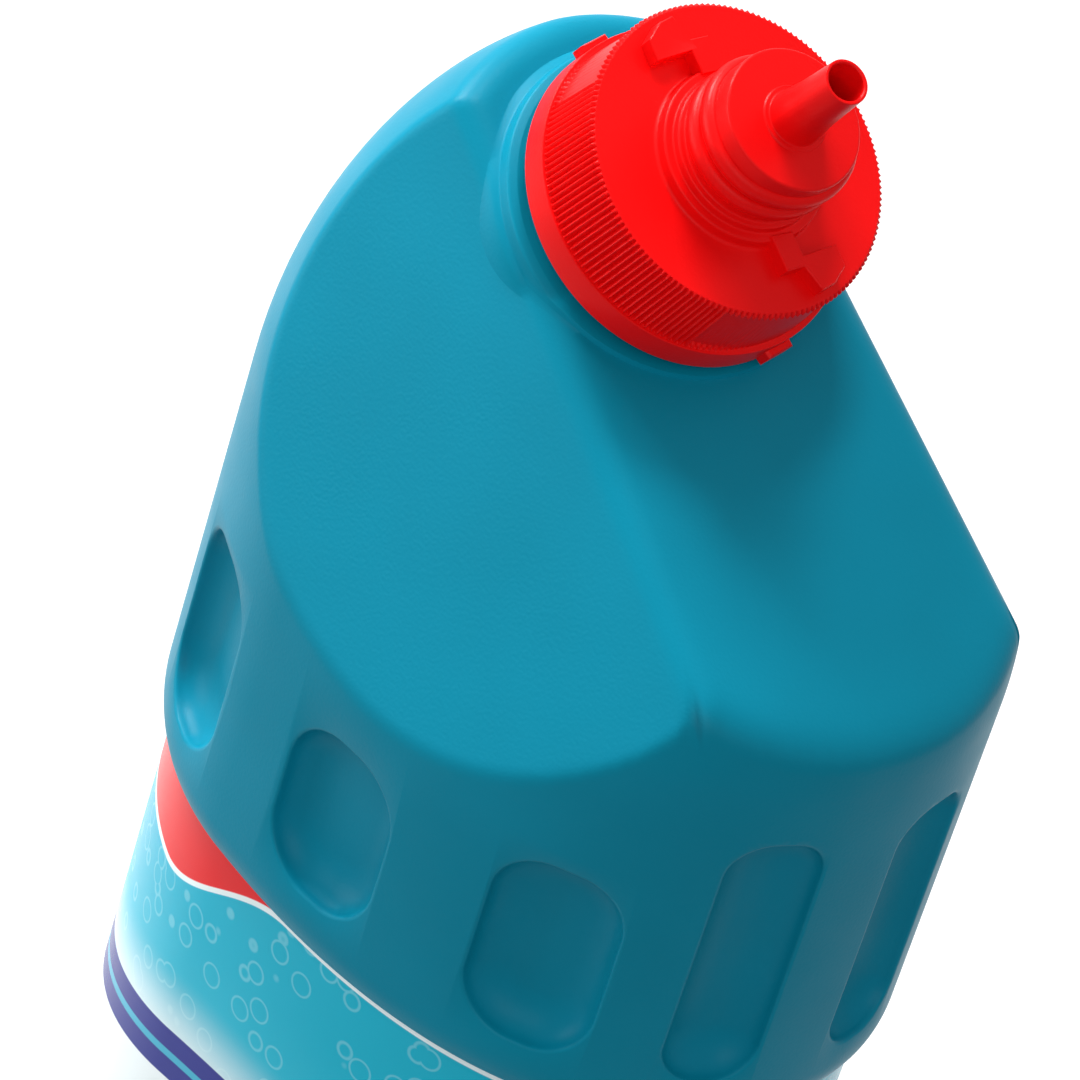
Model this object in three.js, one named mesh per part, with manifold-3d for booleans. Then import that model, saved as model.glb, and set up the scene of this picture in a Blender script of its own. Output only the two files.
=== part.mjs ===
// Toilet cleaner bottle: a blown oval bottle with a faceted shoulder, a slanted neck and a screwed
// nozzle closure. Millimetres, +Z up, origin at the centre of the base, front at -Y, neck leaning to +X.
import * as THREE from 'three';
import Module from 'manifold-3d';

const wasm = await Module();
wasm.setup();

const degrees = Math.PI / 180;
const { cos, sin, abs, min, max, PI } = Math;

// Bottle: an egg-shaped oval, deepest a little behind the middle
const bottleWidth = 98;
const bottleDepth = 77;
const deepestX = -8.9;
const backRoundness = 1.9;
const frontRoundness = 2.25;
const wall = 1.2;

// Heights up the bottle. Those of the head are measured from the foot of its band.
const pushUp = 3.5;
const heelRadius = 6;
const heelTop = 12;
const heelStep = 1.5;
const footRing = 4;
const panelInset = 2.9;
const bandFoot = 133;
const bandRounding = 4.5;
const facetRise = 35;
const archFootRise = 49.3;
const ridgeRise = 58.7;
const neckRise = 87;
const facetStart = bandFoot + facetRise;
const archStart = bandFoot + archFootRise;
const archRise = 53.8;
const archRoundness = 1.96;

// Shoulder facets: one under the neck, and one on each side of it that meets it at a ridge
const neckFacetTilt = 25.2 * degrees;
const sideFacetTurn = 9 * degrees;
const sideFacetLean = 24.7 * degrees;
const ridgeX = 41.5;
const ridgeY = -21.6;
const ridgeFoot = new THREE.Vector3(ridgeX, ridgeY, bandFoot + ridgeRise);
const sideCrease = 0.5;
const neckCrease = 2.4;

// Neck: everything on it and on the closure is measured along its own slanted axis from neckPoint
const neckTilt = 30.6 * degrees;
const neckX = -6.85;
const neckPoint = new THREE.Vector3(neckX, 0, bandFoot + neckRise);
const shelfRadius = 19.4;
const shelfHeight = -4.3;
const shelfRoot = 1;
const neckRadius = 14.6;
const neckBore = 13;
const neckRim = 8.6;

// Screw thread between neck and closure
const threadPitch = 4;
const threadTurns = 1.5;
const neckThreadCrest = 15.9;
const capThreadCrest = 15.05;
const threadStart = 0.6;
const capThreadTurn = -0.3;
const threadRootWidth = 2.2;
const threadCrestWidth = 0.8;
const threadSink = 0.6;

// Closure
const clearance = 0.3;
const skirtFoot = -1.45;
const flangeTop = 2.4;
const plateTop = 11.5;
const plateThickness = 1.6;
const flangeRadius = 18.9;
const knurlFootRadius = 18.6;
const knurlTopRadius = 17.95;
const knurlDepth = 0.5;
const ribCount = 160;
const padMiddle = 10.5 * degrees;
const padHalfWidth = 37.5 * degrees;
const catchMiddle = 12.5 * degrees;
const catchReach = 19.6;
const catchHeight = 2.2;
const skirtBore = 16.4;
const rimHeight = 0.9;
const rimStep = 0.45;

// Boss, spout and small parts of the closure
const rootRingRadius = 10;
const rootRingTop = 13;
const bossRadius = 8.1;
const bossTop = 23.1;
const bossBore = 6.4;
const bossThreadCrest = 9;
const bossThreadPitch = 3;
const bossThreadTurns = 2.3;
const spoutFootRadius = 3.7;
const spoutMouthRadius = 2.55;
const spoutTop = 33.7;
const spoutWall = 0.42;
const lugHeight = 1.9;

// Sealing ring and label
const sealThickness = 0.7;
const sealBore = 11;
const sealRadius = 15.6;
const labelThickness = 0.3;
const labelLift = 2.2;

const bottleColumns = 64;
const cavityColumns = 32;
const turnedColumns = 36;

// Closed loft through rings that run anticlockwise seen from their end, with a fan on each end
function loft(rings, firstCentre, lastCentre) {
  const count = rings[0].length;
  const points = [...rings.flat(), firstCentre, lastCentre];
  const first = points.length - 2;
  const last = points.length - 1;
  const triangles = [];
  for (let i = 0; i < count; i += 1) {
    const j = (i + 1) % count;
    for (let row = 0; row < rings.length - 1; row += 1) {
      const low = row * count;
      const high = low + count;
      triangles.push([low + i, low + j, high + j], [low + i, high + j, high + i]);
    }
    const top = (rings.length - 1) * count;
    triangles.push([first, j, i], [last, top + i, top + j]);
  }
  return solid(points, triangles);
}

// Closed loft through two rings whose halves lie side by side, with a strip across each end
function stripLoft(low, high) {
  const count = low.length;
  const triangles = [];
  for (let i = 0; i < count; i += 1) {
    const j = (i + 1) % count;
    triangles.push([i, j, count + j], [i, count + j, count + i]);
  }
  for (let i = 0; i < count / 2 - 1; i += 1) {
    const opposite = count - 1 - i;
    triangles.push([i, opposite, opposite - 1], [i, opposite - 1, i + 1]);
    triangles.push([count + i, count + i + 1, count + opposite - 1]);
    triangles.push([count + i, count + opposite - 1, count + opposite]);
  }
  return solid([...low, ...high], triangles);
}

function solid(points, triangles) {
  const vertProperties = new Float32Array(points.flatMap((point) => [point.x, point.y, point.z]));
  const triVerts = new Uint32Array(triangles.flat());
  return new wasm.Manifold(new wasm.Mesh({ numProp: 3, vertProperties, triVerts }));
}

const vector = (x, y, z) => new THREE.Vector3(x, y, z);
const union = (solids) => solids.reduce((whole, piece) => whole.add(piece));
const range = (count) => Array.from({ length: count }, (_, i) => i);

// Oval section of the bottle

function ovalRing(inset, z, columns) {
  return range(columns).map((i) => {
    const angle = (2 * PI * i) / columns;
    return ovalPoint(inset, angle, z);
  });
}

function ovalPoint(inset, angle, z) {
  const front = cos(angle) > 0;
  const power = front ? frontRoundness : backRoundness;
  const reach = (abs(cos(angle)) ** power + abs(sin(angle)) ** power) ** (-1 / power);
  const halfLength = (front ? bottleWidth / 2 - deepestX : bottleWidth / 2 + deepestX) - inset;
  const halfDepth = bottleDepth / 2 - inset;
  return vector(deepestX + halfLength * reach * cos(angle), halfDepth * reach * sin(angle), z);
}

// Shoulder: the oval rises into an arch, which the facets cut with rounded creases

const neckFacetNormal = vector(sin(neckFacetTilt), 0, cos(neckFacetTilt));
const frontFacetNormal = vector(
  sin(sideFacetTurn) * cos(sideFacetLean),
  -cos(sideFacetTurn) * cos(sideFacetLean),
  sin(sideFacetLean),
);
const neckFacetOffset = neckFacetNormal.dot(ridgeFoot);
const sideFacetOffset = frontFacetNormal.dot(ridgeFoot);

function archValue(point, inset) {
  const x = point.x - deepestX;
  const power = x > 0 ? frontRoundness : backRoundness;
  const halfLength = (x > 0 ? bottleWidth / 2 - deepestX : bottleWidth / 2 + deepestX) - inset;
  const halfDepth = bottleDepth / 2 - inset;
  const across = ((abs(x) / halfLength) ** power + (abs(point.y) / halfDepth) ** power) ** (1 / power);
  const up = max(point.z - archStart, 0) / (archRise - inset);
  return ((across ** archRoundness + up ** archRoundness) ** (1 / archRoundness) - 1) * (bottleDepth / 2);
}

function facetValues(point, inset) {
  const folded = vector(point.x, -abs(point.y), point.z);
  return {
    neck: neckFacetNormal.dot(point) - neckFacetOffset + inset,
    side: frontFacetNormal.dot(folded) - sideFacetOffset + inset,
  };
}

function roundedMax(a, b, radius) {
  const overlap = max(radius - abs(a - b), 0);
  return max(a, b) + (overlap * overlap) / (4 * radius);
}

function shoulderValue(point, inset) {
  const facets = facetValues(point, inset);
  const sides = roundedMax(archValue(point, inset), facets.side, sideCrease);
  return roundedMax(sides, facets.neck, neckCrease);
}

function surfaceAlong(start, direction, reach, inset) {
  let inside = 0;
  let outside = reach;
  for (let step = 0; step < 34; step += 1) {
    const middle = (inside + outside) / 2;
    if (shoulderValue(start.clone().addScaledVector(direction, middle), inset) < 0) inside = middle;
    else outside = middle;
  }
  return start.clone().addScaledVector(direction, inside);
}

// Neck axis frame: local x leans down the facet, local z runs out of the neck
const neckFrame = new THREE.Matrix4().makeRotationY(neckTilt).setPosition(neckPoint);
const neckAxis = vector(sin(neckTilt), 0, cos(neckTilt));
const alongNeck = (radius, angle, height) =>
  vector(radius * cos(angle), radius * sin(angle), height).applyMatrix4(neckFrame);

function surfaceUnderNeck(radius, angle, inset) {
  const depth = 40;
  const start = alongNeck(radius, angle, -depth);
  return surfaceAlong(start, neckAxis, depth, inset).sub(start).dot(neckAxis) - depth;
}

// Rings from the oval to a circle round the neck. Rows gather at the creases, so that they stay crisp.
function shoulderRings(inset, columns, circleRadius, rowsPerZone) {
  const heart = vector(deepestX, 0, facetStart - 6);
  const reach = 130;
  const samples = 90;
  const perColumn = range(columns).map((column) => {
    const angle = (2 * PI * column) / columns;
    const from = ovalPoint(inset, angle, facetStart).sub(heart);
    const foot = alongNeck(circleRadius, angle, surfaceUnderNeck(circleRadius, angle, inset));
    const to = foot.sub(heart);
    const turn = new THREE.Quaternion().setFromUnitVectors(from.clone().normalize(), to.clone().normalize());
    const directionAt = (share) =>
      from.clone().normalize().applyQuaternion(new THREE.Quaternion().slerp(turn, share));
    const pointAt = (share) => surfaceAlong(heart, directionAt(share), reach, inset);
    const faceAt = (share) => {
      const point = pointAt(share);
      const facets = facetValues(point, inset);
      const arch = archValue(point, inset);
      if (facets.neck > max(facets.side, arch)) return 'neck';
      return facets.side > arch ? 'side' : 'arch';
    };
    const faces = range(samples + 1).map((i) => faceAt(i / samples));
    const neckEdge = faces.findLastIndex((face) => face !== 'neck') / samples;
    const sideEdge = faces.slice(0, neckEdge * samples + 1).lastIndexOf('arch') / samples;
    const upper = min(max(neckEdge, 0.3), 0.94);
    const lower = min(max(sideEdge, 0.15), upper - 0.1);
    return [0, lower, upper, 1].flatMap((edge, zone, edges) => {
      if (zone === 0) return [pointAt(0)];
      return range(rowsPerZone).map((row) => {
        const gathered = (1 - cos((PI * (row + 1)) / rowsPerZone)) / 2;
        return pointAt(edges[zone - 1] + (edge - edges[zone - 1]) * gathered);
      });
    });
  });
  return perColumn[0].map((_, row) => perColumn.map((points) => points[row]));
}

// Finger recesses in the head band: rounded pockets, the same on both sides of the bottle

const recessFoot = bandFoot + 7.4;
const recessDepth = 4;
const recessCorner = 0.44;
const fingerRecesses = [
  { angle: -109 * degrees, width: 16.5, height: 26.1 },
  { angle: -74 * degrees, width: 16.5, height: 22.1 },
  { angle: -43.5 * degrees, width: 15.5, height: 25.4 },
  { angle: -15.7 * degrees, width: 11.5, height: 35.6 },
];

function pocket(width, height, depth, cornerSteps) {
  const outlineAt = (shrink, level) => {
    const halfWidth = width / 2 - shrink;
    const halfHeight = height / 2 - shrink;
    const corner = min(recessCorner * width, halfWidth, halfHeight) * 0.98;
    return range(4).flatMap((quarter) => {
      const middle = (quarter + 0.5) * (PI / 2);
      const x = (halfWidth - corner) * Math.sign(cos(middle));
      const y = (halfHeight - corner) * Math.sign(sin(middle));
      return range(cornerSteps).map((i) => {
        const angle = (quarter + i / (cornerSteps - 1)) * (PI / 2);
        return vector(x + corner * cos(angle), y + corner * sin(angle), level);
      });
    });
  };
  const floorRounding = 0.75 * depth;
  const rings = range(3).map((i) => {
    const angle = ((i + 0.4) / 2.4) * (PI / 2);
    const shrink = floorRounding * (1 - sin(angle)) + 0.05 * depth;
    return outlineAt(shrink, -depth + floorRounding * (1 - cos(angle)));
  });
  rings.push(outlineAt(-0.2, 3));
  return loft(rings, vector(0, 0, -depth), vector(0, 0, 3));
}

function recessCutters(growth, cornerSteps) {
  return fingerRecesses.flatMap(({ angle, width, height }) => {
    const here = ovalPoint(0, angle, recessFoot + height / 2);
    const tangent = ovalPoint(0, angle + 0.01, here.z).sub(ovalPoint(0, angle - 0.01, here.z)).normalize();
    const outward = tangent.clone().cross(vector(0, 0, 1));
    const place = new THREE.Matrix4().makeBasis(tangent, vector(0, 0, 1), outward).setPosition(here);
    const cutter = pocket(width + 2 * growth, height + 2 * growth, recessDepth + growth, cornerSteps);
    const frontSide = cutter.transform(place.toArray());
    return [frontSide, frontSide.mirror([0, 1, 0])];
  });
}

// A ridge of four-sided section wound round the local z axis, standing out of its root or into a bore
function helix(rootRadius, crestRadius, rootWidth, crestWidth, pitch, turns, startHeight, startAngle) {
  const steps = Math.round(turns * 16);
  const outward = Math.sign(crestRadius - rootRadius);
  const rings = range(steps + 1).map((step) => {
    const turned = (step / steps) * turns;
    const angle = startAngle + turned * 2 * PI;
    const height = startHeight + turned * pitch;
    const fade = min(1, (0.5 + min(step, steps - step)) / 3);
    const crest = rootRadius + (crestRadius - rootRadius) * fade;
    const corner = (radius, offset) =>
      vector(radius * cos(angle), radius * sin(angle), height + outward * offset);
    return [
      corner(rootRadius, -rootWidth / 2),
      corner(rootRadius, rootWidth / 2),
      corner(crest, crestWidth / 2),
      corner(crest, -crestWidth / 2),
    ];
  });
  const middleOf = (ring) => ring.reduce((sum, point) => sum.add(point), vector(0, 0, 0)).divideScalar(4);
  return loft(rings, middleOf(rings[0]), middleOf(rings.at(-1)));
}

// The thread of the neck and that of the closure differ only in place and reach
const screwThread = (rootRadius, crestRadius, startHeight, startAngle) => helix(
  rootRadius,
  crestRadius,
  threadRootWidth,
  threadCrestWidth,
  threadPitch,
  threadTurns,
  startHeight,
  startAngle,
);

// Bottle

function bottleSolid() {
  const heel = range(4).map((i) => {
    const angle = i * 30 * degrees;
    return [heelRadius * (1 - sin(angle)), heelRadius * (1 - cos(angle))];
  });
  const bandEdge = range(4).map((i) => {
    const angle = i * 30 * degrees;
    return [panelInset * 0.8 * (1 - sin(angle)), bandFoot + bandRounding * (1 - cos(angle))];
  });
  const outline = [
    [heelRadius + 3.5 * footRing, pushUp],
    [heelRadius + 1.5 * footRing, pushUp * 0.75],
    [heelRadius + footRing, 0],
    ...heel,
    [0, heelTop],
    [panelInset, heelTop + heelStep],
    [panelInset, bandFoot],
    ...bandEdge,
    [0, bandFoot + 20],
  ];
  const bodyRings = outline.map(([inset, z]) => ovalRing(inset, z, bottleColumns));
  const facetRings = shoulderRings(0, bottleColumns, shelfRadius + 1, 5);

  const neckOutline = [
    [shelfRadius + 0.4, shelfHeight - 1.3],
    [shelfRadius, shelfHeight - 0.4],
    [shelfRadius - 0.6, shelfHeight],
    [neckRadius + shelfRoot, shelfHeight],
    [neckRadius, shelfHeight + shelfRoot],
    [neckRadius, neckRim - 0.5],
    [neckRadius - 0.5, neckRim],
  ];
  const neckRings = neckOutline.map(([radius, height]) =>
    range(bottleColumns).map((column) => {
      const angle = (2 * PI * column) / bottleColumns;
      return alongNeck(radius, angle, max(height, surfaceUnderNeck(radius, angle, 0)));
    }),
  );
  const outside = loft(
    [...bodyRings, ...facetRings, ...neckRings],
    vector(0, 0, pushUp),
    alongNeck(0, 0, neckRim),
  );
  const thread = screwThread(neckRadius - threadSink, neckThreadCrest, threadStart, 0);
  const whole = outside.add(thread.transform(neckFrame.toArray()));
  return whole.subtract(union(recessCutters(0, 5))).subtract(cavitySolid());
}

function cavitySolid() {
  const outline = [
    [heelRadius + 3.5 * footRing, pushUp + wall],
    [heelRadius + 1.5 * footRing - 1.1, pushUp * 0.75 + wall],
    [heelRadius + footRing - 1.1, wall],
    [heelRadius + 1, wall],
    [wall + 1.5, wall + 2],
    [wall, heelRadius + 1],
    [wall, heelTop - heelStep],
    [panelInset + wall, heelTop + heelStep],
    [panelInset + wall, bandFoot + wall],
    [wall + 0.7, bandFoot + wall + 2],
    [wall, bandFoot + bandRounding + wall],
  ];
  const bodyRings = outline.map(([inset, z]) => ovalRing(inset, z, cavityColumns));
  const facetRings = shoulderRings(wall, cavityColumns, neckBore + 1.5, 3);
  const boreRings = [-3.5, neckRim + 3].map((height) =>
    range(cavityColumns).map((column) => alongNeck(neckBore, (2 * PI * column) / cavityColumns, height)),
  );
  const cavity = loft(
    [...bodyRings, ...facetRings, ...boreRings],
    vector(0, 0, pushUp + wall),
    alongNeck(0, 0, neckRim + 3),
  );
  return cavity.subtract(union(recessCutters(wall, 3)));
}

// Label: a printed film sleeve in the panel under the head band

function labelSolid() {
  const foot = heelTop + labelLift;
  const top = bandFoot - clearance;
  const sleeve = (inset, low, high) =>
    loft(
      [ovalRing(inset, low, bottleColumns), ovalRing(inset, high, bottleColumns)],
      vector(0, 0, low),
      vector(0, 0, high),
    );
  const inner = panelInset - clearance;
  return sleeve(inner - labelThickness, foot, top).subtract(sleeve(inner, foot - 1, top + 1));
}

// Closure, in the neck's own frame

function circleRing(radius, height, columns) {
  return range(columns).map((i) => {
    const angle = (2 * PI * i) / columns;
    return vector(radius * cos(angle), radius * sin(angle), height);
  });
}

// Turned solid from [radius, height] points that run upwards
function turned(outline, columns = turnedColumns) {
  const rings = outline.map(([radius, height]) => circleRing(radius, height, columns));
  return loft(rings, vector(0, 0, outline[0][1]), vector(0, 0, outline.at(-1)[1]));
}

// Fine ribs all round, between two heights
function ribbed(lowRadius, low, highRadius, high) {
  const ring = (crest, height) =>
    range(2 * ribCount).map((i) => {
      const radius = crest - (i % 2) * knurlDepth;
      return vector(radius * cos((PI * i) / ribCount), radius * sin((PI * i) / ribCount), height);
    });
  return loft([ring(lowRadius, low), ring(highRadius, high)], vector(0, 0, low), vector(0, 0, high));
}

// Smooth pads: on two opposite sides the ribs are missing below the rim
function padCutters(low, high) {
  const steps = 10;
  const arc = range(steps + 1).map((i) => padMiddle + padHalfWidth * ((2 * i) / steps - 1));
  const ring = (root, height) => [
    ...arc.map((angle) => vector((root + 2) * cos(angle), (root + 2) * sin(angle), height)),
    ...arc.toReversed().map((angle) => vector(root * cos(angle), root * sin(angle), height)),
  ];
  const lowRoot = knurlFootRadius - knurlDepth;
  const highRoot = knurlTopRadius - knurlDepth;
  const cutter = stripLoft(ring(lowRoot, low), ring(highRoot, high));
  return [cutter, cutter.rotate([0, 0, 180])];
}

function extruded(outline, low, high) {
  const ring = (height) => outline.map(([x, y]) => vector(x, y, height));
  const total = outline.reduce(([sumX, sumY], [x, y]) => [sumX + x, sumY + y], [0, 0]);
  const middle = (height) => vector(total[0] / outline.length, total[1] / outline.length, height);
  return loft([ring(low), ring(high)], middle(low), middle(high));
}

// Stepped lugs on the plate, one opposite the other
function plateLugs() {
  const outerPart = [[12.3, 1.2], [16.4, 2.8], [16.05, 4.6], [14.4, 6.7], [11.9, 6.6]];
  const innerPart = [[9.4, -1], [13.5, -0.7], [13.5, 2.2], [12.2, 2], [9.4, 1.7]];
  return [outerPart, innerPart].flatMap((outline) => {
    const lug = extruded(outline, plateTop - 0.5, plateTop + lugHeight);
    return [lug, lug.rotate([0, 0, 180])];
  });
}

// Small catches that stand out of the flange below the middle of each pad
function flangeCatches() {
  const root = catchReach - 2.1;
  const outline = [[root, -2], [catchReach, -1.8], [catchReach, 1.8], [root, 2]];
  const block = extruded(outline, skirtFoot, skirtFoot + catchHeight);
  const catchLug = block.rotate([0, 0, catchMiddle / degrees]);
  return [catchLug, catchLug.rotate([0, 0, 180])];
}

function closureSolid() {
  const rimFoot = plateTop - rimHeight;
  const flange = turned([
    [flangeRadius - 0.3, skirtFoot],
    [flangeRadius, skirtFoot + 0.3],
    [knurlFootRadius + 0.15, flangeTop],
  ]);
  const ribs = ribbed(knurlFootRadius, flangeTop, knurlTopRadius, plateTop - 0.35);
  const plate = turned([
    [knurlTopRadius - rimStep - 0.15, rimFoot],
    [knurlTopRadius - rimStep, plateTop],
  ]);
  const boss = turned([
    [rootRingRadius + 0.2, plateTop - 0.5],
    [rootRingRadius, rootRingTop - 0.3],
    [rootRingRadius - 0.4, rootRingTop],
    [bossRadius + 0.7, rootRingTop + 0.1],
    [bossRadius + 0.6, rootRingTop + 0.9],
    [bossRadius, rootRingTop + 1.2],
    [bossRadius, bossTop - 0.4],
    [bossRadius - 0.4, bossTop],
  ]);
  const bossThread = helix(
    bossRadius - 0.5,
    bossThreadCrest,
    2.2,
    0.9,
    bossThreadPitch,
    bossThreadTurns,
    rootRingTop + 1.5,
    40 * degrees,
  );
  const spout = turned([
    [spoutFootRadius + 0.3, bossTop - 0.3],
    [spoutFootRadius, bossTop + 0.4],
    [spoutFootRadius - 0.5, bossTop + 1],
    [spoutMouthRadius + 0.35, bossTop + 5],
    [spoutMouthRadius, spoutTop],
  ], 24);
  const inside = turned([
    [skirtBore, skirtFoot - 1],
    [skirtBore, plateTop - plateThickness],
    [bossBore, plateTop - plateThickness],
    [bossBore - 0.3, bossTop - 1.4],
    [spoutMouthRadius - spoutWall - 0.3, bossTop - 1.2],
    [spoutMouthRadius - spoutWall, spoutTop],
    [spoutMouthRadius - spoutWall, spoutTop + 1],
  ]);
  const knurl = ribs.subtract(union(padCutters(flangeTop, rimFoot)));
  const shell = union([flange, knurl, plate, boss, bossThread, spout, ...plateLugs(), ...flangeCatches()]);
  // The closure's thread lies half a pitch above the neck's; both its height and its angle start early
  const threadHeight = threadStart + (capThreadTurn + 0.5) * threadPitch;
  const thread = screwThread(skirtBore + threadSink, capThreadCrest, threadHeight, capThreadTurn * 2 * PI);
  return shell.subtract(inside).add(thread);
}

function sealSolid() {
  const foot = neckRim + clearance;
  const top = foot + sealThickness;
  const disc = turned([[sealRadius, foot], [sealRadius, top]]);
  return disc.subtract(turned([[sealBore, foot - 1], [sealBore, top + 1]]));
}

// Group of named meshes

function mesh(name, body, material, frame) {
  const { vertProperties, triVerts, numProp } = body.getMesh();
  const geometry = new THREE.BufferGeometry();
  const positions = range(vertProperties.length / numProp).flatMap((i) =>
    Array.from(vertProperties.subarray(i * numProp, i * numProp + 3)),
  );
  geometry.setAttribute('position', new THREE.Float32BufferAttribute(positions, 3));
  geometry.setIndex(Array.from(triVerts));
  if (frame) geometry.applyMatrix4(frame);
  geometry.computeVertexNormals();
  const part = new THREE.Mesh(geometry, new THREE.MeshStandardMaterial(material));
  part.name = name;
  return part;
}

const bottle = new THREE.Group();
bottle.name = 'toilet_cleaner_bottle';
bottle.add(
  mesh('bottle', bottleSolid(), { color: 0x13869f, roughness: 0.4 }),
  mesh('label_sleeve', labelSolid(), { color: 0x39b3c9, roughness: 0.3 }),
  mesh('neck_seal', sealSolid(), { color: 0xf2f2ee, roughness: 0.8 }, neckFrame),
  mesh('nozzle_cap', closureSolid(), { color: 0xe01010, roughness: 0.35 }, neckFrame),
);

export default bottle;
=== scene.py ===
"""Looks of the toilet cleaner bottle. Sizes are in millimetres until a mesh is made."""

import math

import bpy
import numpy as np
from mathutils import Matrix, Vector


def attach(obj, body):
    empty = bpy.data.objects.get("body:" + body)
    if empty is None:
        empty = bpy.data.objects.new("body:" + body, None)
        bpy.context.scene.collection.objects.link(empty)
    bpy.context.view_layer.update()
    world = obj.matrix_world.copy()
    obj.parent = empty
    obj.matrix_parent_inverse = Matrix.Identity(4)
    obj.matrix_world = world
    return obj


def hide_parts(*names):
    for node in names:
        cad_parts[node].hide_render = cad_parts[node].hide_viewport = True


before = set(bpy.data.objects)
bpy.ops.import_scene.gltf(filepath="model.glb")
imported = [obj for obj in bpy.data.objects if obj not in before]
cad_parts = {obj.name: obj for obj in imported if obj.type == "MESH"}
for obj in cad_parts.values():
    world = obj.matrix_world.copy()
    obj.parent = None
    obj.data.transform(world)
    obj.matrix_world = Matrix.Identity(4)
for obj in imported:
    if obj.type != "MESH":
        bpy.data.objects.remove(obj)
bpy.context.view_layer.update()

MM = 0.001
TURN = 2 * math.pi

# Camera: the photograph's viewing angle, found by fitting the object's outlines
CAMERA_AT = Vector((460.0, -480.2, 700.4)) * MM
CAMERA_RIGHT = Vector((0.546639, 0.802633, 0.238675))
CAMERA_UP = Vector((-0.632117, 0.208594, 0.746269))
SENSOR = 36.0
FOCAL = 255.55

# Bottle: an egg-shaped oval
BOTTLE_WIDTH = 98
BOTTLE_DEPTH = 77
DEEPEST_X = -8.9
BACK_ROUNDNESS = 1.9
FRONT_ROUNDNESS = 2.25
WALL = 1.2

# Heights up the bottle. Those of the head are measured from the foot of its band.
PUSH_UP = 3.5
HEEL_RADIUS = 6
HEEL_TOP = 12
HEEL_STEP = 1.5
FOOT_RING = 4
PANEL_INSET = 2.9
BAND_FOOT = 133
BAND_ROUNDING = 4.5
FACET_START = BAND_FOOT + 35
ARCH_START = BAND_FOOT + 49.3
ARCH_RISE = 53.8
ARCH_ROUNDNESS = 1.96

# Shoulder facets
NECK_FACET_TILT = math.radians(25.2)
SIDE_FACET_TURN = math.radians(9)
SIDE_FACET_LEAN = math.radians(24.7)
RIDGE_FOOT = np.array((41.5, -21.6, BAND_FOOT + 58.7))
SIDE_CREASE = 0.5
NECK_CREASE = 2.4

# Neck, with everything on it measured along its own slanted axis
NECK_TILT = math.radians(30.6)
NECK_POINT = np.array((-6.85, 0, BAND_FOOT + 87))
SHELF_RADIUS = 19.4
SHELF_HEIGHT = -4.3
SHELF_PROUD = 0.6
NECK_RADIUS = 14.6
NECK_BORE = 13
NECK_RIM = 8.6

# Finger recesses. The corner is a share of the width, and the scoop is how far in the floor's curve reaches.
RECESS_FOOT = BAND_FOOT + 7.4
RECESS_DEPTH = 4
RECESS_CORNER = 0.44
RECESS_LIP = 0.35
RECESS_SCOOP = 5.2
# Each one's angle on the oval, width and height
FINGER_RECESSES = (
    (math.radians(-109), 16.5, 26.1),
    (math.radians(-74), 16.5, 22.1),
    (math.radians(-43.5), 15.5, 25.4),
    (math.radians(-15.7), 11.5, 35.6),
)

# Screw thread between neck and closure
THREAD_PITCH = 4
THREAD_TURNS = 1.5
THREAD_WIDTH = 1.8
NECK_THREAD_CREST = 15.9
CAP_THREAD_CREST = 15.05
THREAD_START = 0.6
CAP_THREAD_TURN = -0.3

# Closure
SKIRT_FOOT = -1.45
FLANGE_TOP = 2.4
PLATE_TOP = 11.5
PLATE_THICKNESS = 1.6
FLANGE_RADIUS = 18.9
KNURL_FOOT_RADIUS = 18.6
KNURL_TOP_RADIUS = 17.95
KNURL_DEPTH = 0.5
RIB_COUNT = 160
PAD_MIDDLE = math.radians(10.5)
PAD_HALF_WIDTH = math.radians(37.5)
CATCH_MIDDLE = math.radians(12.5)
CATCH_REACH = 19.6
CATCH_HEIGHT = 2.2
SKIRT_BORE = 16.4
RIM_HEIGHT = 0.9
RIM_STEP = 0.45

# Boss, spout and small parts of the closure
ROOT_RING_RADIUS = 10
ROOT_RING_TOP = 13
BOSS_RADIUS = 8.1
BOSS_TOP = 23.1
BOSS_BORE = 6.4
BOSS_THREAD_CREST = 9
BOSS_THREAD_PITCH = 3
BOSS_THREAD_TURNS = 2.3
BOSS_THREAD_WIDTH = 2.4
BOSS_THREAD_TURN = 40 / 360
SPOUT_FOOT_RADIUS = 3.7
SPOUT_MOUTH_RADIUS = 2.55
SPOUT_TOP = 33.7
SPOUT_WALL = 0.42
LUG_HEIGHT = 1.9

# Label sleeve
CLEARANCE = 0.3
LABEL_THICKNESS = 0.3
LABEL_FOOT = HEEL_TOP + 2.2
LABEL_TOP = BAND_FOOT - CLEARANCE

# Label print, as heights up the bottle and angles round it from the front, towards the neck's side
DEEP_FIELD_HEIGHT = 124
PALE_FIELD_HEIGHT = 75
GLOW_HEIGHT = 102
WAVE_HEIGHT = 98
WAVE_SWING = 5
WAVE_HALF_WIDTH = 3.4
FOOT_LINE_HEIGHT = 24
RIBBON_ANGLE = -1.25
RIBBON_DROP = 10.5
BUBBLES_PER_METRE = 230
BUBBLE_RADIUS = 0.34
SEAM_ANGLE = 3.05

# Studio
FLOOR_COLOUR = (0.22, 0.22, 0.22)
FLOOR_GLOW = 0.89
SKY_LIGHT = 0.5
LAMPS = {
    "key": {"direction": (-0.73, -0.134, 0.67), "distance": 0.6, "size": 0.22, "power": 4.9},
    "overhead": {"direction": (-0.32, 0.12, 0.94), "distance": 0.9, "size": 0.2, "power": 4},
    "front": {"direction": (0.62, -0.62, 0.48), "distance": 1.2, "size": 0.8, "power": 3.2},
    "fill": {"direction": (-0.66, -0.74, 0.12), "distance": 0.6, "size": 0.35, "power": 1.5},
}

# Mesh density
BOTTLE_COLUMNS = 320
SHOULDER_ROWS = 30
CAVITY_COLUMNS = 64
TURNED_COLUMNS = 192
POINTS_PER_RIB = 10


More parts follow.
